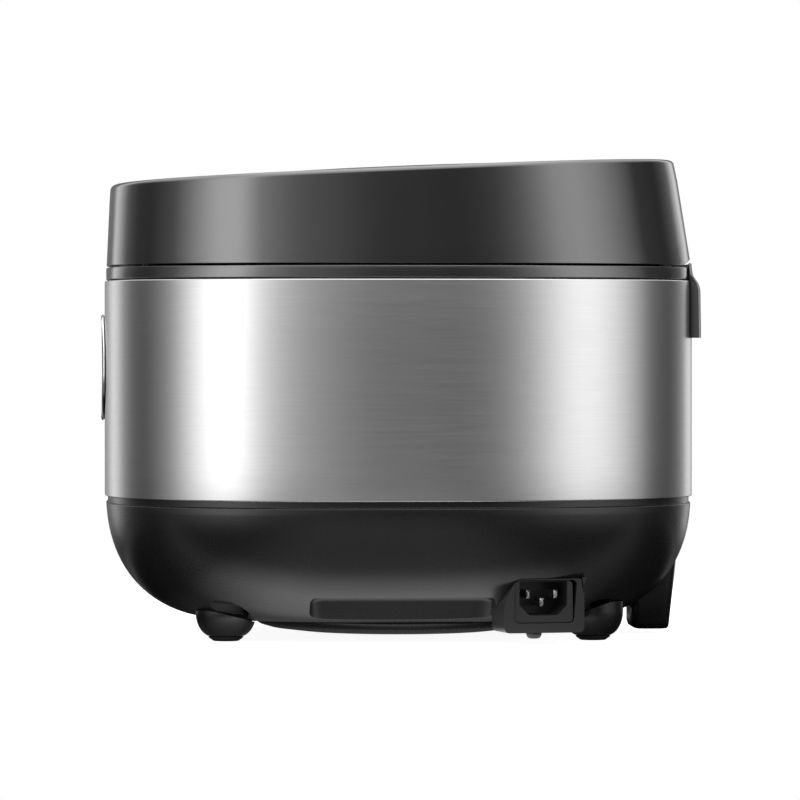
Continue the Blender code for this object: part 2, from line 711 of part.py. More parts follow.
def lid_shell():
    """The glossy side wall with a small edge radius and a rebate for the top panel."""
    edge = LID_EDGE_RADIUS
    near_top = 1 - edge / 0.046
    rings = [lid_ring(0, 0), lid_ring(near_top, 0), lid_ring(1, edge * 0.29, edge * 0.29), lid_ring(1, edge)]
    rings += [lid_ring(1, 0.0034), lid_ring(1, 0.0034, 0.0022), lid_ring(1, 0.010, 0.0022)]
    rings += [lid_ring(1, 0.010, 0.0045), lid_ring(1, LID_WALL, 0.0045), lid_ring(0, LID_WALL)]
    return loft("lid_shell", rings, gloss_black(), closed=True, parent=LID)


def panel_ring(inset, drop):
    """A ring of the crowned top panel."""
    return [point + Vector((0, 0, crown(inset))) for point in lid_ring(1, inset, drop)]


def lid_top_panel():
    """The crowned glossy panel, cut for the steam cap and the release button."""
    insets = (0.0038, 0.020, 0.045, 0.075, 0.105)
    rings = [panel_ring(inset, 0) for inset in reversed(insets)]
    rings += [panel_ring(inset, 0.0019) for inset in insets]
    panel = loft("lid_top_panel", rings, gloss_black(), parent=LID)
    opening = disc(STEAM_RADIUS + 0.0008, 0.20, 0.26)
    hole = turned("steam_hole", opening, place_at=(0, STEAM_Y, 0), cutter=True)
    width, depth = RELEASE_SIZE
    points = [(x, y + RELEASE_Y) for x, y in rounded_rectangle(width, depth, 0.005)]
    return cut(panel, hole, prism("release_hole", points, 0.21, 0.26, cutter=True))


def lid_liner():
    """The inner deck that closes the lid from below, with a slot for the latch and a steam hole."""
    low, high = LINER_Z
    points = outline(LID_HALF_X - 0.0036, LID_HALF_Y - 0.0036, -0.0006)
    liner = prism("lid_liner", points, low, high, matte_black(), LID)
    slot = box("liner_slot", (-0.010, -0.1375, 0.18), (0.010, -0.1150, 0.20), cutter=True)
    opening = disc(0.008, 0.18, 0.21)
    hole = turned("liner_steam_hole", opening, place_at=(0, STEAM_Y, 0), steps=20, cutter=True)
    return cut(liner, slot, hole)


def inner_lid():
    """The detachable inner plate with its steam holes, and the seal that meets the pot's rim."""
    plate = [(0, 0.1888), (0.060, 0.1890), (0.0975, 0.1905)]
    plate += [(0.0975, 0.1893), (0.060, 0.1878), (0, 0.1876)]
    lower = turned("inner_lid", plate, aluminium(), steps=32, parent=LID)
    bm = bmesh.new()
    for turn in range(6):
        angle = turn * math.pi / 3
        x, y = 0.013 * math.cos(angle), STEAM_Y + 0.013 * math.sin(angle)
        bmesh.ops.create_cone(bm, cap_ends=True, segments=8, radius1=0.0026, radius2=0.0026, depth=0.02,
                              matrix=Matrix.Translation((x, y, 0.189)))
    cut(lower, mesh_object("inner_lid_vents", bm, cutter=True))
    seal = [(0.1085, 0.1912), (0.1085, 0.1885), (0.1075, 0.1868), (0.1050, 0.1872)]
    seal += [(0.1045, 0.1885), (0.0980, 0.1885), (0.0980, 0.1912)]
    turned("lid_gasket", seal, silicone(), steps=32, ring=True, parent=LID)


def hinge_plate():
    """The steel plate under the lid's rear, with two arms down to the pin."""
    pieces = [box("plate_deck", (-0.034, 0.1120, 0.1893), (0.034, 0.1418, 0.1912), cutter=True)]
    for number, x in enumerate((-ARM_X[1], ARM_X[0])):
        head = arc((HINGE_Y, HINGE_Z), 0.0037, 160, 380, 10)
        arm = [(HINGE_Y + 0.0010, 0.1905), (HINGE_Y - 0.0026, 0.1905), *head]
        pieces.append(side_prism(f"plate_arm_{number}", arm, x, x + ARM_X[1] - ARM_X[0], cutter=True))
    plate = union_pieces("hinge_plate", pieces, plain_steel(), LID)
    for piece in pieces[1:]:
        piece.parent = LID
    return cut(plate, pin_bore("plate_bore", 0.030))


def steam_vent():
    """The vent cup fixed in the lid, and the cap that lifts out of it."""
    cup = [(0.0262, 0.2310), (0.0262, 0.1943), (0.0060, 0.1943)]
    cup += [(0.0060, 0.1958), (0.0248, 0.1958), (0.0248, 0.2310)]
    turned("steam_cup", cup, matte_black(), ring=True, parent=LID, place_at=(0, STEAM_Y, 0))
    top = lid_top_z(STEAM_Y) + crown(LID_TOP_HALF_Y + LID_TOP_SHIFT_Y - STEAM_Y) - GAP
    seat = empty("steam_axis", (0, STEAM_Y, top), LID)
    cap = [(0, 0), (STEAM_RADIUS - 0.002, 0), (STEAM_RADIUS, -0.0012), (STEAM_RADIUS, -0.0035)]
    cap += [(0.0180, -0.0035), (0.0170, -0.0280), (0.0155, -0.0280), (0.0165, -0.0030), (0, -0.0030)]
    body = turned("steam_cap", cap, gloss_black(), parent=seat)
    slots = bmesh.new()
    for x in (-0.008, 0, 0.008):
        spot = Matrix.Translation((x, 0, 0)) @ Matrix.Diagonal((0.0022, 0.018, 0.02, 1))
        bmesh.ops.create_cube(slots, size=1, matrix=spot)
    return cut(body, mesh_object("steam_slots", slots, parent=seat, smooth=False, cutter=True))


def latch():
    """The release button, its spring, and the lever whose hook reaches down through the rim."""
    top = lid_top_z(RELEASE_Y) + 0.0010
    seat = empty("release_axis", (0, RELEASE_Y, top), LID)
    width, depth = RELEASE_SIZE
    points = rounded_rectangle(width - 2 * GAP, depth - 2 * GAP, 0.0047)
    button = prism("release_top", points, -0.0040, 0, parent=seat, cutter=True)
    ends = ((-0.003, -0.0066, -0.0205), (0.003, -0.0042, -0.0035))
    stem = box("release_stem", *ends, parent=seat, cutter=True)
    union_pieces("release_button", [button, stem], gloss_black(), seat)
    coil("button_spring", 4, 0.0030, 0.0005, 0.0120, plain_steel(), seat, place_at=(0.0115, 0, -0.0165))
    box("button_shelf", (0.0075, -0.1320, 0.1943), (0.0165, -0.1220, 0.2108), matte_black(), LID)
    pivot = empty("latch_axis", (0, LATCH_Y, LATCH_Z), LID)
    lever = [(-0.0160, 0.0042), (0.0030, 0.0042), (0.0034, -0.0030), (-0.0080, -0.0030), (-0.0082, -0.0270)]
    lever += [(-0.0164, -0.0262), (-0.0110, -0.0238), (-0.0108, -0.0010), (-0.0160, 0.0015)]
    arm = side_prism("latch_lever", lever, -0.0050, 0.0050, plain_steel(), pivot)
    bore = disc(0.0016, -0.02, 0.02)
    cut(arm, turned("latch_bore", bore, steps=12, parent=pivot, axis="X", cutter=True))
    turned("latch_pin", disc(0.0015, -0.0070, 0.0070), plain_steel(), steps=12, parent=LID,
           place_at=(0, LATCH_Y, LATCH_Z), axis="X")


# ---------------------------------------------------------------- assembly
LID_AXIS = empty("lid_axis", (0, HINGE_Y, HINGE_Z), ROOT)
LID = empty("lid_space", (0, -HINGE_Y, -HINGE_Z), LID_AXIS)


def build():
    """Builds every sub-part in its place."""
    envelope = bowl_envelope()
    inlet_face = inlet_frame()
    base_shell(inlet_face)
    feet(envelope)
    rear_leg(envelope)
    bottom_cover()
    base_screws()
    inlet(inlet_face)
    notch = box("hinge_notch", (-0.031, 0.1275, 0.1715), (0.031, 0.160, 0.195), cutter=True)
    hole = front_disc("control_hole", disc(0.0240, -0.020, 0.020), None, steps=40, cutter=True)
    steel_band(notch, hole)
    upper_ring(notch)
    hinge_cover()
    hinge_bracket()
    heat_shield()
    heating()
    sensor()
    inner_pot()
    controls()
    power_board()
    mains_lead()
    lid_shell()
    lid_top_panel()
    lid_liner()
    inner_lid()
    hinge_plate()
    steam_vent()
    latch()


build()
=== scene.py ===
"""The rice cooker's finished shells, trims, materials and studio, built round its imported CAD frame."""

import math

import bmesh
import bpy
from mathutils import Matrix, Vector


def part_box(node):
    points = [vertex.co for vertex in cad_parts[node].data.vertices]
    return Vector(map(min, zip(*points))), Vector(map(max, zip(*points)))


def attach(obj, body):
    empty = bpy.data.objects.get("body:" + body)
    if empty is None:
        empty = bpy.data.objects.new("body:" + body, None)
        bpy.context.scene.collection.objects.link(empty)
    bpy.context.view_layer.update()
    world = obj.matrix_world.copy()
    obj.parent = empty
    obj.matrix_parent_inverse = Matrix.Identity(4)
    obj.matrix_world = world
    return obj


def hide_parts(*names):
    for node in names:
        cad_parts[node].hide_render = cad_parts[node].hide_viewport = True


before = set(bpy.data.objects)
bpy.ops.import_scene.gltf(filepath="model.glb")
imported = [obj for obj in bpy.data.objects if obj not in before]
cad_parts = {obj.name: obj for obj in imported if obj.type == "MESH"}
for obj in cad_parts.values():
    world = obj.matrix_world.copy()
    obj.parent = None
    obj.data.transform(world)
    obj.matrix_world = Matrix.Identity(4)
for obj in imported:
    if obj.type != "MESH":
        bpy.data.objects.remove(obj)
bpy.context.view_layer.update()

# ---------------------------------------------------------------- dimensions (metres)
POT_LOW, POT_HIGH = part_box("inner_pot")
MID_Y = (POT_LOW.y + POT_HIGH.y) / 2
BODY_HALF = (0.131, 0.148)
BODY_EXPONENT = 2.7
REAR_TAPER = 0.03
SEGMENTS = 240
GAP = 0.0003

FLOOR_Z = 0.0095
BOWL_TOP_Z = 0.0674
BOWL_CURVE_TOP_Z = 0.0715
BOWL_RUN_IN = 0.0573
BOWL_EXPONENT = 2.2
NECK_INSET = 0.0016
NECK_TOP_Z = 0.0800
WALL = 0.0025

BAND_Z = (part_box("steel_band")[0].z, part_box("steel_band")[1].z)
RING_Z = (0.1788, 0.1849)
RING_INSET = 0.0008

LID_BOTTOM_Z = 0.1858
LID_HALF = (0.130, 0.147)
LID_TOP_HALF = (0.1275, 0.142)
LID_TOP_SHIFT_Y = -0.0031
LID_TOP_MID_Z = 0.2327
LID_TOP_SLOPE = 0.0437
LID_EDGE_RADIUS = 0.0025
LID_CROWN = 0.0038

COVER_HALF_X = 0.050
CONTROL_Z = 0.1348
STEAM_Y = 0.068
STEAM_RADIUS = 0.022
RELEASE_Y = -0.127
RELEASE_SIZE = (0.036, 0.014)

FEET = {
    "front_right": (0.063, -0.088),
    "front_left": (-0.063, -0.088),
    "rear_right": (0.063, 0.094),
    "rear_left": (-0.063, 0.094),
}
POCKET_TILT = math.radians(19)
LEG_SECTIONS = (
    (0.0025, 0.1285, 0.0132, 0.0074),
    (0.0028, 0.1283, 0.0142, 0.0084),
    (0.0038, 0.1278, 0.0149, 0.0094),
    (0.0060, 0.1276, 0.0153, 0.0099),
    (0.060, 0.1303, 0.0185, 0.0127),
)
GRIP_WALL_X = 0.0905
GRIP_Y = (-0.048, 0.043)
GRIP_TOP_Z = 0.0232
INLET = Matrix.Translation((0.1118, 0.0656 + MID_Y, 0)) @ Matrix.Rotation(math.radians(12), 4, "Z")
CAVITY_Z = 0.0229
INLET_PINS = {"live": (-0.007, 0.002), "neutral": (0.007, 0.002), "earth": (0, -0.002)}
PIN_SECTIONS = ((-0.0196, 0.0010, 0.0020), (-0.0032, 0.0010, 0.0020), (-0.0024, 0.0004, 0.0011))
STUD_PLACE = (-0.010, -0.0020, 0)
DISPLAY_SIZE = (0.0240, 0.0100)
DISPLAY_LIFT = 0.007

CAMERA_DISTANCE = 2.65
CAMERA_TURN = math.radians(3)
CAMERA_HEIGHT = 0.150
CAMERA_LENS = 235.2


# ---------------------------------------------------------------- materials
def finish_of(name, color, roughness, metallic=0.0):
    """A new material with its Principled shader's plain values set."""
    made = bpy.data.materials.new(name)
    made.use_nodes = True
    shader = made.node_tree.nodes["Principled BSDF"]
    shader.inputs["Base Color"].default_value = (*color, 1)
    shader.inputs["Roughness"].default_value = roughness
    shader.inputs["Metallic"].default_value = metallic
    made.diffuse_color = (*color, 1)
    return made


def node(material, kind, **values):
    """A node of that kind, with its plain properties and its sockets' values set."""
    made = material.node_tree.nodes.new(kind)
    for name, value in values.items():
        if hasattr(made, name):
            setattr(made, name, value)
        else:
            made.inputs[name.replace("_", " ")].default_value = value
    return made


def link(material, source, output, target, socket):
    material.node_tree.links.new(source.outputs[output], target.inputs[socket])


def noise(material, stretch, detail=4.0):
    """Noise in the object's own space, stretched along its axes."""
    place = node(material, "ShaderNodeTexCoord")
    mapping = node(material, "ShaderNodeMapping", Scale=stretch)
    pattern = node(material, "ShaderNodeTexNoise", Scale=1.0, Detail=detail, Roughness=0.6)
    link(material, place, "Object", mapping, "Vector")
    link(material, mapping, "Vector", pattern, "Vector")
    return pattern


def spread(material, pattern, low, high, shader, socket):
    """Maps a pattern's middle range to a range of one of the shader's values."""
    span = node(material, "ShaderNodeMapRange", From_Min=0.3, From_Max=0.7, To_Min=low, To_Max=high)
    link(material, pattern, 0, span, "Value")
    link(material, span, "Result", shader, socket)


def tint(material, pattern, dark, light, shader):
    """Maps a pattern to a run between two colours."""
    ramp = node(material, "ShaderNodeValToRGB")
    ramp.color_ramp.elements[0].position = 0.3
    ramp.color_ramp.elements[0].color = (*dark, 1)
    ramp.color_ramp.elements[1].position = 0.7
    ramp.color_ramp.elements[1].color = (*light, 1)
    link(material, pattern, 0, ramp, "Fac")
    link(material, ramp, "Color", shader, "Base Color")


def relief(material, pattern, distance, shader, edge=0.0):
    """Bumps the surface by a pattern, over edges that are softened by a small radius."""
    bump = node(material, "ShaderNodeBump", Strength=1.0, Distance=distance)
    link(material, pattern, 0, bump, "Height")
    if edge:
        bevel = node(material, "ShaderNodeBevel", samples=4, Radius=edge)
        link(material, bevel, "Normal", bump, "Normal")
    link(material, bump, "Normal", shader, "Normal")


def moulded(name, gray, roughness, grain=0.000002, edge=0.0004):
    """Matte moulded plastic: fine spark-eroded grain, slow changes of tone, softened edges."""
    made = finish_of(name, (gray, gray, gray), roughness)
    shader = made.node_tree.nodes["Principled BSDF"]
    fine = noise(made, (2400, 2400, 2400), 2.0)
    slow = noise(made, (22, 22, 22), 5.0)
    tint(made, slow, (gray * 0.88,) * 3, (gray * 1.12,) * 3, shader)
    spread(made, fine, roughness - 0.05, roughness + 0.05, shader, "Roughness")
    relief(made, fine, grain, shader, edge)
    return made


def lacquer(name, gray, roughness, metallic, edge=0.0003):
    """Glossy dark lacquer: a faint pigment flake, orange-peel ripple and slow changes of gloss."""
    made = finish_of(name, (gray, gray, gray), roughness, metallic)
    shader = made.node_tree.nodes["Principled BSDF"]
    flake = noise(made, (2600, 2600, 2600), 2.0)
    ripple = noise(made, (160, 160, 160), 2.0)
    tint(made, flake, (gray * 0.94,) * 3, (gray * 1.06,) * 3, shader)
    spread(made, noise(made, (18, 18, 18), 4.0), roughness - 0.015, roughness + 0.02, shader, "Roughness")
    relief(made, ripple, 0.0000015, shader, edge)
    return made


def brushed(name, gray, roughness, stretch):
    """Brushed steel: long fine scratches with changes of tone, gloss and height across them."""
    made = finish_of(name, (gray, gray, gray), roughness, 1.0)
    shader = made.node_tree.nodes["Principled BSDF"]
    scratch = noise(made, stretch, 6.0)
    tint(made, scratch, (gray * 0.955,) * 3, (gray * 1.045,) * 3, shader)
    broad = noise(made, [size * 0.6 for size in stretch], 3.0)
    spread(made, broad, roughness - 0.018, roughness + 0.018, shader, "Roughness")
    relief(made, scratch, 0.000003, shader)
    shader.inputs["Anisotropic"].default_value = 0.25
    shader.inputs["Anisotropic Rotation"].default_value = 0.25
    tangent = node(made, "ShaderNodeTangent", direction_type="RADIAL", axis="Z")
    link(made, tangent, "Tangent", shader, "Tangent")
    return made


def satin_metal(name, gray, roughness, grain, edge=0.0002):
    """Plain metal with a fine grain and faint changes of tone."""
    made = finish_of(name, (gray, gray, gray * 1.01), roughness, 1.0)
    shader = made.node_tree.nodes["Principled BSDF"]
    fine = noise(made, (grain, grain, grain), 4.0)
    tint(made, fine, (gray * 0.9,) * 3, (gray * 1.06,) * 3, shader)
    spread(made, fine, roughness - 0.05, roughness + 0.06, shader, "Roughness")
    relief(made, fine, 0.000002, shader, edge)
    return made


def speckled(name, color, roughness, amount, metallic=0.0):
    """A coating or sheet with fine specks."""
    made = finish_of(name, color, roughness, metallic)
    shader = made.node_tree.nodes["Principled BSDF"]
    fine = noise(made, (1800, 1800, 1800), 2.0)
    dark = tuple(channel * (1 - amount) for channel in color)
    light = tuple(channel * (1 + amount) for channel in color)
    tint(made, fine, dark, light, shader)
    spread(made, fine, roughness - 0.04, roughness + 0.06, shader, "Roughness")
    relief(made, fine, 0.000015, shader, 0.0002)
    return made


LOOKS = {
    "base_plastic": moulded("base_plastic", 0.010, 0.27),
    "inlet_plastic": moulded("inlet_plastic", 0.020, 0.38, 0.000002, 0.0003),
    "cover_plastic": moulded("cover_plastic", 0.008, 0.30),
    "inner_plastic": moulded("inner_plastic", 0.022, 0.46),
    "gloss_plastic": lacquer("gloss_plastic", 0.165, 0.14, 0.92),
    "brushed_band": brushed("brushed_band", 0.66, 0.30, (42, 42, 2600)),
    "plain_steel": satin_metal("plain_steel", 0.58, 0.30, 900),
    "sheet_aluminium": satin_metal("sheet_aluminium", 0.66, 0.34, 700),
    "cast_aluminium": satin_metal("cast_aluminium", 0.60, 0.48, 420),
    "pot_coating": speckled("pot_coating", (0.035, 0.035, 0.038), 0.32, 0.5),
    "chrome_trim": satin_metal("chrome_trim", 0.78, 0.10, 300),
    "pin_steel": satin_metal("pin_steel", 0.55, 0.24, 900, 0.0),
    "display_lens": lacquer("display_lens", 0.012, 0.08, 0.0),
    "circuit_board": speckled("circuit_board", (0.02, 0.12, 0.05), 0.45, 0.25),
    "component": moulded("component", 0.030, 0.50),
    "lead_rubber": moulded("lead_rubber", 0.020, 0.60),
    "seal_silicone": speckled("seal_silicone", (0.62, 0.62, 0.60), 0.55, 0.06),
    "foot_rubber": moulded("foot_rubber", 0.016, 0.75, 0.00002),
}


# ---------------------------------------------------------------- shape helpers
def power(value, exponent):
    return math.copysign(abs(value) ** exponent, value)


def oval(angle, half_x, half_y):
    """One point of the body's outline: a superellipse with a slightly narrower rear."""
    x = half_x * power(math.cos(angle), 2 / BODY_EXPONENT)
    y = half_y * power(math.sin(angle), 2 / BODY_EXPONENT)
    return x * (1 - REAR_TAPER * y / half_y), y


def even_angles(count):
    """The angles that step evenly round the body's outline."""
    fine = [math.tau * i / 7200 for i in range(7201)]
    points = [oval(angle, *BODY_HALF) for angle in fine]
    runs = [0.0]
    for before, after in zip(points, points[1:]):
        runs.append(runs[-1] + math.dist(before, after))
    chosen = []
    index = 0
    for i in range(count):
        while runs[index] < runs[-1] * i / count:
            index += 1
        chosen.append(fine[index])
    return chosen


ANGLES = even_angles(SEGMENTS)


def outline(half_x, half_y, shift_y=0.0):
    return [(x, y + shift_y + MID_Y) for x, y in (oval(angle, half_x, half_y) for angle in ANGLES)]


def body_ring(inset, z):
    return [Vector((x, y, z)) for x, y in outline(BODY_HALF[0] - inset, BODY_HALF[1] - inset)]


def circle_ring(radius, z):
    """A round ring with its points in line with the body outline's."""
    ring = []
    for x, y in outline(*BODY_HALF):
        angle = math.atan2(y - MID_Y, x)
        ring.append(Vector((radius * math.cos(angle), radius * math.sin(angle) + MID_Y, z)))
    return ring


def fillet(points, radius, steps=4, closed=True):
    """Rounds each corner of a run of (u, v) points."""
    rounded = []
    for i, corner in enumerate(points):
        if not closed and i in (0, len(points) - 1):
            rounded.append(corner)
            continue
        here = Vector(corner)
        before, after = Vector(points[i - 1]), Vector(points[(i + 1) % len(points)])
        reach = min(radius, (before - here).length * 0.49, (after - here).length * 0.49)
        start = here + (before - here).normalized() * reach
        end = here + (after - here).normalized() * reach
        for step in range(steps + 1):
            share = step / steps
            rounded.append(tuple(start.lerp(here, share).lerp(here.lerp(end, share), share)))
    return rounded


def rectangle(size_u, size_v, radius, steps=8, middle=(0, 0)):
    u, v = size_u / 2, size_v / 2
    corners = [(-u, -v), (u, -v), (u, v), (-u, v)]
    return fillet([(a + middle[0], b + middle[1]) for a, b in corners], radius, steps)


def new_object(name, bm, matrix=None):
    """A linked, smooth-shaded object from a bmesh, with sharp corners kept."""
    bmesh.ops.recalc_face_normals(bm, faces=bm.faces)
    if matrix:
        bm.transform(matrix)
    mesh = bpy.data.meshes.new(name)
    bm.to_mesh(mesh)
    bm.free()
    made = bpy.data.objects.new(name, mesh)
    bpy.context.scene.collection.objects.link(made)
    return soften(made)


def soften(made):
    made.data.shade_smooth()
    made.data.set_sharp_from_angle(angle=math.radians(32))
    return made


def loft(name, rings, closed=False, matrix=None):
    """Quads between rings of equal count: a closed profile makes a frame, an open one a capped solid."""
    bm = bmesh.new()
    loops = [[bm.verts.new(point) for point in ring] for ring in rings]
    pairs = list(zip(loops, loops[1:]))
    if closed:
        pairs.append((loops[-1], loops[0]))
    for low, high in pairs:
        for i, corner in enumerate(low):
            following = (i + 1) % len(low)
            bm.faces.new((corner, low[following], high[following], high[i]))
    if not closed:
        bm.faces.new(loops[0])
        bm.faces.new(loops[-1])
    return new_object(name, bm, matrix)


def prism(name, points, low, high, matrix=None, edge=0.0):
    """An outline of (x, y) points raised from low to high, its upper edge rounded by a radius."""
    rings = [[Vector((x, y, low)) for x, y in points]]
    if not edge:
        return loft(name, rings + [[Vector((x, y, high)) for x, y in points]], matrix=matrix)
    middle = Vector((sum(x for x, y in points), sum(y for x, y in points))) / len(points)
    for step in range(6):
        angle = math.pi / 2 * step / 5
        inset = edge * (1 - math.cos(angle))
        ring = []
        for x, y in points:
            spoke = Vector((x, y)) - middle
            inner = middle + spoke * (1 - inset / spoke.length)
            ring.append(Vector((inner.x, inner.y, high - edge * (1 - math.sin(angle)))))
        rings.append(ring)
    return loft(name, rings, matrix=matrix)


def side_prism(name, points, near, far, matrix=None):
    """An outline of (y, z) points drawn out along X."""
    rings = [[Vector((x, y, z)) for y, z in points] for x in (near, far)]
    return loft(name, rings, matrix=matrix)


AXES = {
    "Z": Matrix.Identity(4),
    "Y": Matrix.Rotation(math.radians(90), 4, "X"),
}


def turned(name, profile, centre=(0, 0, 0), axis="Z", count=96, ring=False, edge=0.0):
    """A profile of (radius, height) points turned about an axis, its corners rounded by a radius."""
    if edge:
        profile = fillet(profile, edge, 4, closed=ring)
    bm = bmesh.new()
    loops = []
    for radius, height in profile:
        spokes = count if radius > 1e-7 else 1
        loop = []
        for i in range(spokes):
            angle = math.tau * i / count
            loop.append(bm.verts.new((radius * math.cos(angle), radius * math.sin(angle), height)))
        loops.append(loop)
    pairs = list(zip(loops, loops[1:]))
    if ring:
        pairs.append((loops[-1], loops[0]))
    for low, high in pairs:
        for i in range(count):
            j = (i + 1) % count
            corners = (low[i % len(low)], low[j % len(low)], high[j % len(high)], high[i % len(high)])
            face = list(dict.fromkeys(corners))
            if len(face) > 2:
                bm.faces.new(face)
    return new_object(name, bm, Matrix.Translation(centre) @ AXES[axis])


def carve(made, *tools, operation="DIFFERENCE"):
    """Cuts the tools from an object, or joins them to it, and removes them."""
    for tool in tools:
        modifier = made.modifiers.new("carve", "BOOLEAN")
        modifier.operation = operation
        modifier.object = tool
        modifier.solver = "EXACT"
    graph = bpy.context.evaluated_depsgraph_get()
    graph.update()
    mesh = bpy.data.meshes.new_from_object(made.evaluated_get(graph))
    made.modifiers.clear()
    made.data = mesh
    for tool in tools:
        bpy.data.objects.remove(tool)
    return soften(made)


def place(made, body, slot, *nodes, look=None):
    """Gives a finished piece its slot's material or another look, its body and the nodes it stands for."""
    made.data.materials.clear()
    made.data.materials.append(LOOKS[look or slot])
    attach(made, body)
    if nodes:
        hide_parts(*nodes)
    return made


def arc(centre, radius, start, end, steps):
    points = []
    for step in range(steps + 1):
        angle = math.radians(start + (end - start) * step / steps)
        points.append((centre[0] + radius * math.cos(angle), centre[1] + radius * math.sin(angle)))
    return points


# ---------------------------------------------------------------- base
def bowl_rings(inset=0.0, lift=0.0, top=NECK_TOP_Z, steps=26):
    """The lower housing's sections, from its floor up through the curve to the neck inside the band."""
    rings = []
    for step in range(steps + 1):
        angle = math.pi / 2 * (1 - step / steps) ** 1.25
        run_in = BOWL_RUN_IN * (1 - math.cos(angle) ** (2 / BOWL_EXPONENT))
        drop = (BOWL_CURVE_TOP_Z - FLOOR_Z) * math.sin(angle) ** (2 / BOWL_EXPONENT)
        z = BOWL_CURVE_TOP_Z - drop
        if z < BOWL_TOP_Z - 0.001:
            rings.append(body_ring(0.0007 + run_in + inset, z + lift))
    for step in range(1, 6):
        angle = math.pi / 2 * step / 6
        edge = 0.0009 * (1 - math.cos(angle))
        rings.append(body_ring(0.0007 + edge + inset, BOWL_TOP_Z - 0.0009 * (1 - math.sin(angle))))
    rings.append(body_ring(NECK_INSET + inset, BOWL_TOP_Z + (0 if inset else GAP)))
    rings.append(body_ring(NECK_INSET + inset, top))
    return rings


def grip_block(side, grow):
    """The block that a hand-grip recess takes out of the bowl's side, with a rounded ceiling edge."""
    width = GRIP_Y[1] - GRIP_Y[0] + 2 * grow
    middle = (side * (GRIP_WALL_X - grow + 0.030), sum(GRIP_Y) / 2 + MID_Y)
    points = rectangle(0.060, width, 0.008 + grow, 8, middle)
    return prism("grip_block", points, -0.010, GRIP_TOP_Z + grow, edge=0.0030)


def inlet_outline(grow=0.0):
    """The inlet housing's outline seen from outside, as (y, z) points, with one slanted upper corner."""
    front, rear, low, high = -0.0199 - grow, 0.0207 + grow, 0.0061 - grow, 0.0324 + grow
    corners = [(rear, high), (front + 0.0062, high), (front + 0.0012, 0.0235), (front, 0.0180)]
    corners += [(front, low), (rear, low)]
    return fillet(corners, 0.0030, 6)


def hook_outline(inset):
    """The tapered slot at the inlet's rear upper corner, where a plug's hook goes in."""
    corners = [(0.0199 + inset * 0.6, 0.0256 + inset * 3), (0.0206 - inset * 0.4, 0.0256 + inset * 3)]
    corners += [(0.0229 - inset, 0.0330), (0.0190 + inset, 0.0330)]
    return fillet(corners, 0.0005, 4)


def base_body():
    """The matte lower bowl, with its grips, foot openings, floor opening, inlet hole and hook slot."""
    inside = loft("inside", bowl_rings(WALL, WALL, NECK_TOP_Z + 0.003))
    carve(inside, grip_block(1, WALL), grip_block(-1, WALL))
    shell = loft("base_body", bowl_rings())
    tools = [grip_block(1, 0), grip_block(-1, 0), inside]
    tools.append(turned("opening", [(0, 0), (0.060, 0), (0.060, 0.02), (0, 0.02)], (0, MID_Y, 0)))
    tools.append(side_prism("hole", inlet_outline(GAP), -0.0223, 0.020, INLET))
    tools.append(side_prism("hook_slot", hook_outline(0), -0.0060, 0.020, INLET))
    for x, y in FEET.values():
        tools.append(foot_pocket(math.copysign(1, x), y))
    carve(shell, *tools)
    place(shell, "body", "base_plastic", "base_shell")


def foot_pocket(side, y):
    """The oval opening through the bowl's side, above a foot, tilted down towards the middle."""
    tilt = math.copysign(POCKET_TILT, y)
    points = []
    for step in range(48):
        angle = math.tau * step / 48
        along, up = 0.0104 * math.cos(angle), 0.0036 * math.sin(angle)
        points.append((y - math.copysign(0.0015, y) + MID_Y + along * math.cos(tilt) - up * math.sin(tilt),
                       0.0163 + along * math.sin(tilt) + up * math.cos(tilt)))
    return side_prism("pocket", points, side * 0.0610, side * 0.1200)


def bowl_envelope():
    return loft("envelope", bowl_rings(-GAP, -GAP, 0.09))


def feet():
    """Four domed feet under the bowl, each with its rubber pad."""
    for word, (x, y) in FEET.items():
        dome = [(0, 0.034), (0.0150, 0.034), (0.0150, 0.0145)]
        for step in range(13):
            angle = math.pi / 2 - 1.23 * step / 12
            dome.append((0.0062 + 0.0088 * math.sin(angle), 0.0140 - 0.0121 * math.cos(angle)))
        dome.append((0, dome[-1][1]))
        foot = turned("foot_dome_" + word, dome, (x, y + MID_Y, 0), count=64)
        place(carve(foot, bowl_envelope()), "body", "base_plastic", "foot_" + word)
        pad = [(0, 0.0022), (0.0088, 0.0022), (0.0082, 0.0014), (0.0062, 0), (0, 0)]
        made = turned("rubber_pad_" + word, pad, (x, y + MID_Y, 0), count=48, edge=0.0003)
        place(made, "body", "foot_rubber", "pad_" + word)


def rear_leg():
    """The tapered centre leg."""
    rings = []
    for z, middle_y, half_x, half_y in LEG_SECTIONS:
        points = rectangle(2 * half_x, 2 * half_y, 0.0055, 8, (0, middle_y + MID_Y))
        rings.append([Vector((x, y, z)) for x, y in points])
    leg = carve(loft("rear_support", rings), bowl_envelope())
    place(leg, "body", "base_plastic", "rear_leg")


def bottom_plate():
    """The round dished plate under the floor opening."""
    top = FLOOR_Z - GAP
    profile = [(0, top), (0.0715, top), (0.0715, 0.0072), (0.0702, 0.0056), (0.064, 0.0038), (0.050, 0.0021)]
    profile += [(0, 0.0012)]
    plate = turned("bottom_plate", profile, (0, MID_Y, 0), count=160, edge=0.0012)
    place(plate, "body", "base_plastic", "bottom_cover")


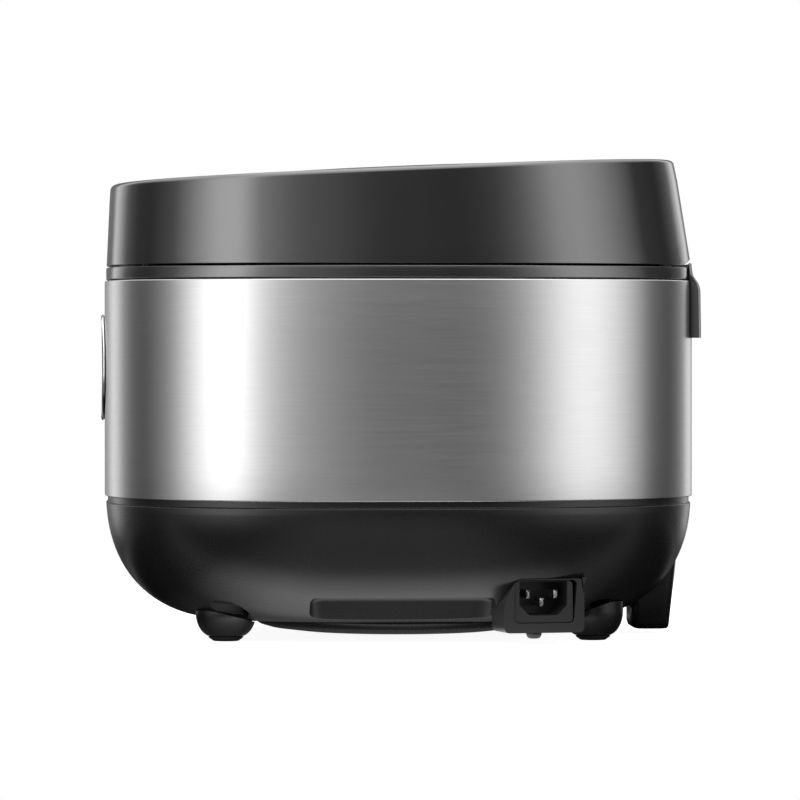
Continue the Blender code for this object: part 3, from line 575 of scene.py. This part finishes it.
def inlet():
    """The inlet's frame, its insert with a keyed cavity, the hook slot's tongue, three pins and a stud."""
    housing = side_prism("inlet_frame", inlet_outline(), -0.022, 0, INLET)
    window = fillet([(-0.0147, 0.0108), (0.0154, 0.0108), (0.0171, 0.0318), (-0.0147, 0.0318)], 0.0028, 6)
    hook = side_prism("hook", hook_outline(0), -0.0060, 0.010, INLET)
    carve(housing, side_prism("window", window, -0.040, 0.010, INLET), hook)
    place(housing, "body", "inlet_plastic", "inlet_housing")
    tongue = side_prism("hook_tongue", hook_outline(0.0008), -0.0060, -0.0008, INLET)
    place(tongue, "body", "inlet_plastic")
    block = fillet([(-0.0144, 0.0111), (0.0151, 0.0111), (0.0148, 0.0315), (-0.0144, 0.0315)], 0.0026, 6)
    insert = side_prism("inlet_insert", block, -0.0218, -0.0006, INLET)
    low, high, half, corner = CAVITY_Z - 0.0083, CAVITY_Z + 0.0083, 0.0121, 0.0050
    cavity = [(-half, high), (-half, low + corner), (-half + corner, low)]
    cavity += [(half - corner, low), (half, low + corner), (half, high)]
    carve(insert, side_prism("cavity", fillet(cavity, 0.0007, 3), -0.020, 0.005, INLET))
    place(insert, "body", "inlet_plastic", "inlet_socket")
    for word, (y, lift) in INLET_PINS.items():
        rings = []
        for x, half_y, half_z in PIN_SECTIONS:
            points = rectangle(2 * half_y, 2 * half_z, 0.0002, 3, (y, CAVITY_Z + lift))
            rings.append([Vector((x, a, b)) for a, b in points])
        place(loft("pin_blade_" + word, rings, matrix=INLET), "body", "plain_steel", "inlet_pin_" + word,
              look="pin_steel")
    bump = [(0, 0.0058), (0.0038, 0.0058), (0.0038, 0.0048), (0.0031, 0.0034), (0.0020, 0.0029), (0, 0.0028)]
    stud = turned("stud_dome", bump, INLET @ Vector(STUD_PLACE), count=48, edge=0.0004)
    place(stud, "body", "inlet_plastic", "inlet_stud")


# ---------------------------------------------------------------- body
def band():
    """The brushed steel sleeve, its edges rolled in, with the hinge notch and the control hole."""
    low, high = BAND_Z
    roll, wall = 0.0007, 0.0008
    rings = []
    for step in range(7):
        angle = math.pi / 2 * step / 6
        rings.append(body_ring(roll * (1 - math.sin(angle)), low + roll * (1 - math.cos(angle))))
    for z in (0.09, 0.11, 0.13, 0.15):
        rings.append(body_ring(0, z))
    for step in range(7):
        angle = math.pi / 2 * step / 6
        rings.append(body_ring(roll * (1 - math.cos(angle)), high - roll * (1 - math.sin(angle))))
    rings += [body_ring(roll + wall, high), body_ring(wall, high - roll)]
    rings += [body_ring(wall, low + roll), body_ring(roll + wall, low)]
    sleeve = loft("brushed_sleeve", rings, closed=True)
    hole = turned("hole", [(0, -0.020), (0.024, -0.020), (0.024, 0.020), (0, 0.020)],
                  (0, -BODY_HALF[1] + MID_Y, CONTROL_Z), "Y")
    carve(sleeve, hinge_notch(), hole)
    place(sleeve, "body", "brushed_band", "steel_band")


def hinge_notch():
    points = rectangle(0.062, 0.0325, 0.0005, 2, (0, 0.14375 + MID_Y))
    return prism("notch", points, 0.1715, 0.195)


def rim_ring():
    """The glossy rim between band and lid, with its pot ledge and skirt."""
    low, high = RING_Z
    chamfer = 0.0006
    rings = [body_ring(RING_INSET + 0.003, low), body_ring(RING_INSET + 0.0004, low)]
    rings += [body_ring(RING_INSET, low + 0.0004), body_ring(RING_INSET, high - chamfer)]
    rings.append(body_ring(RING_INSET + chamfer * 0.3, high - chamfer * 0.3))
    rings.append(body_ring(RING_INSET + chamfer, high))
    rings += [circle_ring(0.1120, high), circle_ring(0.1115, high - 0.0005), circle_ring(0.1115, 0.1828)]
    rings += [circle_ring(0.1035, 0.1828), circle_ring(0.1035, 0.1600), circle_ring(0.1058, 0.1600)]
    rings += [circle_ring(0.1058, 0.1798), body_ring(RING_INSET + 0.003, 0.1798)]
    rim = loft("rim_ring", rings, closed=True)
    slot = prism("slot", rectangle(0.018, 0.014, 0.002, 4, (0, -0.1285 + MID_Y)), 0.17, 0.19)
    carve(rim, hinge_notch(), slot)
    place(rim, "body", "gloss_plastic", "upper_ring")


def rear_y(x):
    share = abs(x) / (BODY_HALF[0] * (1 - REAR_TAPER))
    return BODY_HALF[1] * (1 - share ** BODY_EXPONENT) ** (1 / BODY_EXPONENT) + MID_Y


def rear_cover():
    """The dark rear cover below the hinge, bent to the body, cut for the hinge arms."""
    outer = [(0.0046, 0.1497), (0.0046, 0.1560), (0.0043, 0.1734), (0.0036, 0.1765), (0.0006, 0.1810)]
    outer += [(0.0001, 0.1835), (-0.0002, 0.1870)]
    inner = [(-0.0005, 0.1870), (-0.0005, 0.1792), (GAP, 0.1786), (GAP, 0.1497)]
    section = fillet(outer, 0.0009, 5, closed=False) + inner
    rings = []
    steps = 64
    for step in range(steps + 1):
        x = COVER_HALF_X * (2 * step / steps - 1)
        tuck = min(1, (COVER_HALF_X - abs(x)) / 0.0020)
        ends = 0.30 + 0.70 * math.sqrt(max(0, 1 - (1 - tuck) ** 2))
        rings.append([Vector((x, rear_y(x) + (out * ends if out > GAP else out), z)) for out, z in section])
    cover = loft("rear_cover", rings)
    slots = []
    for side in (-1, 1):
        points = rectangle(0.009, 0.02, 0.001, 3, (side * 0.022, 0.15))
        slots.append(prism("slot", points, 0.1730, 0.19))
    place(carve(cover, *slots), "body", "cover_plastic", "hinge_cover")


# ---------------------------------------------------------------- pot and heating
def pot():
    """The lift-out pot with a rolled rim and a rounded bottom corner."""
    bend = (0.079, 0.066)
    inside = arc(bend, 0.020, 0, -90, 12)
    outside = arc(bend, 0.022, 0, -90, 12)
    profile = [(0, 0.046), *reversed(inside), (0.099, 0.1820), (0.1000, 0.1841), (0.1015, 0.1850)]
    profile += [(0.1094, 0.1850), (0.1100, 0.1844), (0.1100, 0.1838), (0.1094, 0.1834), (0.101, 0.1831)]
    profile += [*outside, (0, 0.044)]
    made = turned("cooking_pot", profile, (0, MID_Y, 0), count=160)
    place(made, "pot", "pot_coating", "inner_pot")


# ---------------------------------------------------------------- controls
def front_piece(name, profile, x=0.0, z=0.0, count=96, ring=False, edge=0.0):
    """A turned piece whose axis points out of the cooker's front, about the control unit's centre."""
    return turned(name, profile, (x, -BODY_HALF[1] + MID_Y, CONTROL_Z + z), "Y", count, ring, edge)


def bend_to_front(made):
    """Bends a front piece back to the body's curve at each distance from the middle."""
    for vertex in made.data.vertices:
        share = abs(vertex.co.x) / (BODY_HALF[0] * (1 + REAR_TAPER))
        vertex.co.y += BODY_HALF[1] * (1 - (1 - share ** BODY_EXPONENT) ** (1 / BODY_EXPONENT))
    return soften(made)


BUTTONS = {
    "start_button": (0.0, -0.0085, 0.0056),
    "menu_button": (-0.0128, -0.0045, 0.0036),
    "cancel_button": (0.0128, -0.0045, 0.0036),
}


def controls():
    """The round control unit: chrome ring on a dark seat, glossy dished face, display and three buttons."""
    bezel = [(0.0256, 0.0019), (0.02675, 0.0012), (0.02675, 0.0005), (0.0235, 0.0003)]
    bezel += [(0.0235, -0.0080), (0.0220, -0.0080), (0.0220, 0.0004), (0.0232, 0.0015)]
    ring = bend_to_front(front_piece("chrome_ring", bezel, ring=True, edge=0.0005, count=144))
    place(ring, "body", "chrome_trim", "control_bezel")
    seat = [(0.0238, 0.0004), (0.0262, 0.0004), (0.0262, -0.0003), (0.0238, -0.0003)]
    seat_ring = bend_to_front(front_piece("ring_seat", seat, ring=True, edge=0.0002, count=144))
    place(seat_ring, "body", "cover_plastic")
    face = [(0, -0.0012), (0.012, -0.0009), (0.0216, 0.0002), (0.0216, -0.0030), (0, -0.0030)]
    plate = front_piece("control_plate", face, edge=0.0002)
    front_y = -BODY_HALF[1] + MID_Y
    points = rectangle(*DISPLAY_SIZE, 0.002, 6, (0, CONTROL_Z + DISPLAY_LIFT))
    tools = [loft("hole", [[Vector((x, front_y + y, z)) for x, z in points] for y in (0.0032, -0.004)])]
    for name, (x, z, radius) in BUTTONS.items():
        hole = [(0, -0.01), (radius + GAP, -0.01), (radius + GAP, 0.01), (0, 0.01)]
        tools.append(front_piece("hole", hole, x, z, 48))
    place(carve(plate, *tools), "body", "gloss_plastic", "control_face")
    width, height = DISPLAY_SIZE
    points = rectangle(width - 2 * GAP, height - 2 * GAP, 0.0018, 6, (0, CONTROL_Z + DISPLAY_LIFT))
    lens = [[Vector((x, front_y + y, z)) for x, z in points] for y in (0.0028, 0.0007)]
    place(loft("display_lens", lens), "body", "display_lens", "display_window")
    for name, (x, z, radius) in BUTTONS.items():
        cap = [(0, 0.0006), (radius * 0.55, 0.00055), (radius - 0.0004, 0.0003), (radius, -0.0001)]
        cap += [(radius, -0.0040), (0, -0.0040)]
        made = front_piece(name + "_cap", cap, x, z, 64, edge=0.0002)
        place(made, name, "plain_steel", name)


# ---------------------------------------------------------------- lid
def lid_top_z(y):
    return LID_TOP_MID_Z + LID_TOP_SLOPE * (y - MID_Y)


def lid_bottom_z(y):
    """The height of the lid's lower edge, which lifts at the rear to clear the hinge."""
    share = min(max((y - MID_Y - 0.1385) / 0.0075, 0), 1)
    return LID_BOTTOM_Z + 0.003 * share * share * (3 - 2 * share)


def lid_ring(share, inset, drop=0.0):
    """A section of the lid's wall: share 0 at the lower edge, 1 at the top edge less drop."""
    low = outline(LID_HALF[0] - inset, LID_HALF[1] - inset)
    high = outline(LID_TOP_HALF[0] - inset, LID_TOP_HALF[1] - inset, LID_TOP_SHIFT_Y)
    ring = []
    for (x0, y0), (x1, y1) in zip(low, high):
        z = lid_bottom_z(y0) * (1 - share) + lid_top_z(y1) * share - drop
        ring.append(Vector((x0 * (1 - share) + x1 * share, y0 * (1 - share) + y1 * share, z)))
    return ring


def crown(inset):
    share = min(inset / LID_TOP_HALF[0], 1)
    return LID_CROWN * share * share * (3 - 2 * share)


def lid_wall():
    """The glossy side wall with a rounded top edge and a rebate for the top panel."""
    edge = LID_EDGE_RADIUS
    rings = [lid_ring(0, 0.0004), lid_ring(0.004, 0.0001), lid_ring(0.010, 0)]
    rings += [lid_ring(share, 0) for share in (0.2, 0.4, 0.6, 0.8)]
    for step in range(8):
        angle = math.pi / 2 * step / 7
        inset, drop = edge * (1 - math.cos(angle)), edge * (1 - math.sin(angle))
        rings.append(lid_ring(1, inset, drop))
    rings += [lid_ring(1, 0.0034), lid_ring(1, 0.0034, 0.0022), lid_ring(1, 0.010, 0.0022)]
    rings += [lid_ring(1, 0.010, 0.0045), lid_ring(1, 0.0022, 0.0045), lid_ring(0, 0.0022)]
    place(loft("lid_wall", rings, closed=True), "lid", "gloss_plastic", "lid_shell")


def lid_panel():
    """The crowned glossy panel, cut for the steam cap and the release button."""
    insets = [0.0038 + 0.0005 * (1 - math.cos(math.pi / 2 * i / 3)) for i in range(4)]
    lips = [0.0005 * (1 - math.sin(math.pi / 2 * i / 3)) for i in range(4)]
    rings = []
    for inset in (0.118, 0.100, 0.080, 0.060, 0.045, 0.032, 0.022, 0.014, 0.008):
        rings.append([point + Vector((0, 0, crown(inset))) for point in lid_ring(1, inset)])
    for inset, lip in reversed(list(zip(insets, lips))):
        rings.append([point + Vector((0, 0, crown(inset) - lip)) for point in lid_ring(1, inset)])
    for inset in (0.0038, 0.040, 0.118):
        rings.append([point + Vector((0, 0, crown(inset))) for point in lid_ring(1, inset, 0.0019)])
    panel = loft("lid_panel", rings)
    radius = STEAM_RADIUS + 0.0008
    hole = turned("hole", [(0, 0.20), (radius, 0.20), (radius, 0.26), (0, 0.26)], (0, STEAM_Y + MID_Y, 0))
    button = prism("hole", rectangle(*RELEASE_SIZE, 0.005, 8, (0, RELEASE_Y + MID_Y)), 0.21, 0.26)
    place(carve(panel, hole, button), "lid", "gloss_plastic", "lid_top_panel")


def under_lid():
    """The detachable inner plate with its steam holes, and the seal that meets the pot's rim."""
    plate = [(0, 0.1888), (0.060, 0.1890), (0.0975, 0.1905), (0.0975, 0.1893), (0.060, 0.1878), (0, 0.1876)]
    made = turned("steam_plate", plate, (0, MID_Y, 0), count=128, edge=0.0003)
    vents = []
    for turn in range(6):
        angle = turn * math.pi / 3
        spot = (0.013 * math.cos(angle), STEAM_Y + MID_Y + 0.013 * math.sin(angle), 0)
        vents.append(turned("vent", [(0, 0.18), (0.0026, 0.18), (0.0026, 0.20), (0, 0.20)], spot, count=24))
    place(carve(made, *vents), "lid", "sheet_aluminium", "inner_lid")
    seal = [(0.1085, 0.1912), (0.1085, 0.1885), (0.1075, 0.1868), (0.1050, 0.1872), (0.1045, 0.1885)]
    seal += [(0.0980, 0.1885), (0.0980, 0.1912)]
    made = turned("lid_seal", seal, (0, MID_Y, 0), count=128, ring=True, edge=0.0004)
    place(made, "lid", "seal_silicone", "lid_gasket")


def steam_vent():
    """The slotted cap that lifts out of the lid."""
    top = lid_top_z(STEAM_Y + MID_Y) + crown(LID_TOP_HALF[1] + LID_TOP_SHIFT_Y - STEAM_Y) - GAP
    cap = [(0, 0), (0.020, 0), (0.022, -0.0012), (0.022, -0.0035), (0.0180, -0.0035)]
    cap += [(0.0170, -0.0280), (0.0155, -0.0280), (0.0165, -0.0030), (0, -0.0030)]
    made = turned("vent_cap", cap, (0, STEAM_Y + MID_Y, top), count=96, edge=0.0006)
    slots = []
    for x in (-0.008, 0, 0.008):
        points = rectangle(0.0022, 0.018, 0.0010, 5, (x, STEAM_Y + MID_Y))
        slots.append(prism("slot", points, top - 0.01, top + 0.01))
    place(carve(made, *slots), "steam_cap", "gloss_plastic", "steam_cap")


def release():
    """The release button with a soft top edge, and its stem."""
    top = lid_top_z(RELEASE_Y + MID_Y) + 0.0010
    middle_y = RELEASE_Y + MID_Y
    width, depth = RELEASE_SIZE
    points = rectangle(width - 2 * GAP, depth - 2 * GAP, 0.0047, 8, (0, middle_y))
    button = prism("release_cap", points, top - 0.0040, top, edge=0.0008)
    stem_points = rectangle(0.006, 0.0024, 0.0003, 3, (0, middle_y - 0.0054))
    stem = prism("stem", stem_points, top - 0.0202, top - 0.0035)
    place(carve(button, stem, operation="UNION"), "release_button", "gloss_plastic", "release_button")


# ---------------------------------------------------------------- carried-over nodes
def carried_over():
    """Gives the CAD nodes that stay the finish of their slot."""
    kept = {
        "inner_plastic": ["control_housing", "steam_cup", "button_shelf", "lid_liner"],
        "sheet_aluminium": ["heat_shield"],
        "cast_aluminium": ["heating_plate", "sensor_cap"],
        "circuit_board": ["control_board", "power_board"],
        "component": ["transformer", "relay"],
        "lead_rubber": ["mains_lead"],
        "plain_steel": ["base_screw_1", "base_screw_2", "base_screw_3", "base_screw_4", "hinge_bracket",
                        "hinge_pin", "hinge_spring", "hinge_plate", "heater_element", "sensor_cup",
                        "sensor_spring", "button_spring", "latch_lever", "latch_pin"],
    }
    for slot, names in kept.items():
        for name in names:
            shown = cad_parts[name]
            shown.data.materials.clear()
            shown.data.materials.append(LOOKS[slot])


# ---------------------------------------------------------------- studio
# Light level at each angle in degrees from +X towards the front.
AZIMUTH_LIGHT = (
    (-180, 0.20), (-163, 0.18), (-156, 1.35), (-148, 0.95), (-140, 0.30), (-120, 0.05),
    (-96, 0.12), (-80, 0.68), (-64, 1.25), (-52, 1.55), (-42, 1.40), (-34, 0.85),
    (-27, 0.40), (-20, 0.15), (-12, 0.05), (-4, 0.10), (3, 0.27), (14, 0.40),
    (29, 0.90), (34, 1.55), (39, 2.15), (45, 2.22), (52, 2.10), (63, 1.40),
    (74, 0.75), (84, 0.30), (106, 0.07), (122, 0.09), (136, 0.28), (148, 1.10),
    (155, 1.35), (161, 0.22),
)
BRIGHTEST = 2.5
# The floor's glow at each distance from the middle along X, in metres.
FLOOR_GLOW = (
    (0, 0.03), (0.070, 0.15), (0.092, 1.05), (0.108, 2.00), (0.122, 1.60),
    (0.143, 0.40), (0.200, 0.38), (0.300, 0.48), (0.450, 0.20), (1, 0.20),
)
FLOOR_BRIGHTEST = 2.2


def studio_light():
    """Light by direction, as two tall soft panels with dark between. Camera rays see white instead."""
    world = bpy.data.worlds.new("studio")
    bpy.context.scene.world = world
    world.use_nodes = True
    tree = world.node_tree
    tree.nodes.clear()
    place_at = tree.nodes.new("ShaderNodeTexCoord")
    parts = tree.nodes.new("ShaderNodeSeparateXYZ")
    tree.links.new(place_at.outputs["Generated"], parts.inputs[0])
    flipped = tree.nodes.new("ShaderNodeMath")
    flipped.operation = "MULTIPLY"
    flipped.inputs[1].default_value = -1
    tree.links.new(parts.outputs["Y"], flipped.inputs[0])
    azimuth = tree.nodes.new("ShaderNodeMath")
    azimuth.operation = "ARCTAN2"
    tree.links.new(flipped.outputs[0], azimuth.inputs[0])
    tree.links.new(parts.outputs["X"], azimuth.inputs[1])
    share = tree.nodes.new("ShaderNodeMapRange")
    share.inputs["From Min"].default_value = -math.pi
    share.inputs["From Max"].default_value = math.pi
    tree.links.new(azimuth.outputs[0], share.inputs["Value"])
    ramp = tree.nodes.new("ShaderNodeValToRGB")
    elements = ramp.color_ramp.elements
    while len(elements) < len(AZIMUTH_LIGHT):
        elements.new(0.5)
    for element, (degrees, level) in zip(elements, AZIMUTH_LIGHT):
        element.position = degrees / 360 + 0.5
        element.color = (level / BRIGHTEST, level / BRIGHTEST, level / BRIGHTEST, 1)
    tree.links.new(share.outputs["Result"], ramp.inputs["Fac"])
    above = tree.nodes.new("ShaderNodeMapRange")
    above.inputs["From Min"].default_value = 0.35
    above.inputs["From Max"].default_value = 0.80
    tree.links.new(parts.outputs["Z"], above.inputs["Value"])
    blend = tree.nodes.new("ShaderNodeMix")
    blend.data_type = "RGBA"
    blend.inputs[7].default_value = (0.72, 0.72, 0.72, 1)
    tree.links.new(above.outputs["Result"], blend.inputs["Factor"])
    tree.links.new(ramp.outputs["Color"], blend.inputs[6])
    lighting = tree.nodes.new("ShaderNodeBackground")
    lighting.inputs["Strength"].default_value = BRIGHTEST
    tree.links.new(blend.outputs[2], lighting.inputs["Color"])
    backdrop = tree.nodes.new("ShaderNodeBackground")
    backdrop.inputs["Color"].default_value = (1, 1, 1, 1)
    path = tree.nodes.new("ShaderNodeLightPath")
    chosen = tree.nodes.new("ShaderNodeMixShader")
    tree.links.new(path.outputs["Is Camera Ray"], chosen.inputs["Fac"])
    tree.links.new(lighting.outputs[0], chosen.inputs[1])
    tree.links.new(backdrop.outputs[0], chosen.inputs[2])
    output = tree.nodes.new("ShaderNodeOutputWorld")
    tree.links.new(chosen.outputs[0], output.inputs["Surface"])


def overhead_light():
    """One large soft panel above."""
    data = bpy.data.lights.new("overhead", "AREA")
    data.shape = "DISK"
    data.size = 2.0
    data.energy = 8
    lamp = bpy.data.objects.new("overhead", data)
    lamp.location = (-0.3, 0.1, 2.4)
    lamp.rotation_euler = (-lamp.location).to_track_quat("-Z", "Y").to_euler()
    bpy.context.scene.collection.objects.link(lamp)


def floor():
    """A round floor, pale to camera rays. Other rays see a painted glow along the object's two sides
    instead.
    """
    bm = bmesh.new()
    bmesh.ops.create_circle(bm, cap_ends=True, segments=96, radius=1.1)
    ground = new_object("floor", bm)
    look = finish_of("floor_white", (0.60, 0.60, 0.60), 0.7)
    tree = look.node_tree
    seen = tree.nodes["Principled BSDF"]
    seen.inputs["Emission Color"].default_value = (1, 1, 1, 1)
    seen.inputs["Emission Strength"].default_value = 0.93
    place_at = node(look, "ShaderNodeTexCoord")
    length = node(look, "ShaderNodeVectorMath", operation="LENGTH")
    fade = node(look, "ShaderNodeMapRange", From_Min=0.30, From_Max=0.65, To_Min=0.0, To_Max=1.0)
    near = node(look, "ShaderNodeValToRGB")
    while len(near.color_ramp.elements) < len(FLOOR_GLOW):
        near.color_ramp.elements.new(0.5)
    for element, (radius, level) in zip(near.color_ramp.elements, FLOOR_GLOW):
        element.position = radius
        element.color = (level / FLOOR_BRIGHTEST, level / FLOOR_BRIGHTEST, level / FLOOR_BRIGHTEST, 1)
    parts = node(look, "ShaderNodeSeparateXYZ")
    link(look, place_at, "Object", parts, 0)
    aside = node(look, "ShaderNodeMath", operation="ABSOLUTE")
    link(look, parts, "X", aside, 0)
    link(look, aside, 0, near, "Fac")
    offset = node(look, "ShaderNodeMath", operation="ADD")
    offset.inputs[1].default_value = 0.015
    link(look, parts, "Y", offset, 0)
    along = node(look, "ShaderNodeMath", operation="ABSOLUTE")
    link(look, offset, 0, along, 0)
    ends = node(look, "ShaderNodeMapRange", From_Min=0.055, From_Max=0.12, To_Min=FLOOR_BRIGHTEST,
                To_Max=0.34)
    link(look, along, 0, ends, "Value")
    link(look, place_at, "Object", length, 0)
    link(look, length, "Value", fade, "Value")
    # Painted glow: this emission lights a sheen on the lower bowl, dimmer towards its front and rear.
    side_glow = node(look, "ShaderNodeEmission")
    link(look, ends, "Result", side_glow, "Strength")
    link(look, near, "Color", side_glow, "Color")
    clear = node(look, "ShaderNodeBsdfTransparent")
    path = node(look, "ShaderNodeLightPath")
    surface = node(look, "ShaderNodeMixShader")
    faded = node(look, "ShaderNodeMixShader")
    link(look, path, "Is Camera Ray", surface, 0)
    tree.links.new(side_glow.outputs[0], surface.inputs[1])
    tree.links.new(seen.outputs[0], surface.inputs[2])
    link(look, fade, "Result", faded, 0)
    tree.links.new(surface.outputs[0], faded.inputs[1])
    tree.links.new(clear.outputs[0], faded.inputs[2])
    tree.links.new(faded.outputs[0], tree.nodes["Material Output"].inputs["Surface"])
    ground.data.materials.append(look)


def camera():
    """A long lens at the cooker's right side, slightly to the front."""
    data = bpy.data.cameras.new("camera")
    data.lens = CAMERA_LENS
    data.sensor_width = 36
    data.clip_end = 100
    made = bpy.data.objects.new("camera", data)
    away = Vector((math.cos(CAMERA_TURN), -math.sin(CAMERA_TURN), 0))
    side = Vector((math.sin(CAMERA_TURN), math.cos(CAMERA_TURN), 0))
    made.location = away * CAMERA_DISTANCE + Vector((0, MID_Y, CAMERA_HEIGHT))
    target = side * 0.0015 + Vector((0, MID_Y, CAMERA_HEIGHT - CAMERA_DISTANCE * 0.012))
    made.rotation_euler = (target - made.location).to_track_quat("-Z", "Y").to_euler()
    bpy.context.scene.collection.objects.link(made)
    bpy.context.scene.camera = made


def build():
    """Builds the studio and every finished piece."""
    camera()
    studio_light()
    overhead_light()
    floor()
    base_body()
    feet()
    rear_leg()
    bottom_plate()
    inlet()
    band()
    rim_ring()
    rear_cover()
    pot()
    controls()
    lid_wall()
    lid_panel()
    under_lid()
    steam_vent()
    release()
    carried_over()
    bpy.context.scene.view_settings.view_transform = "Standard"


build()
bpy.context.view_layer.update()
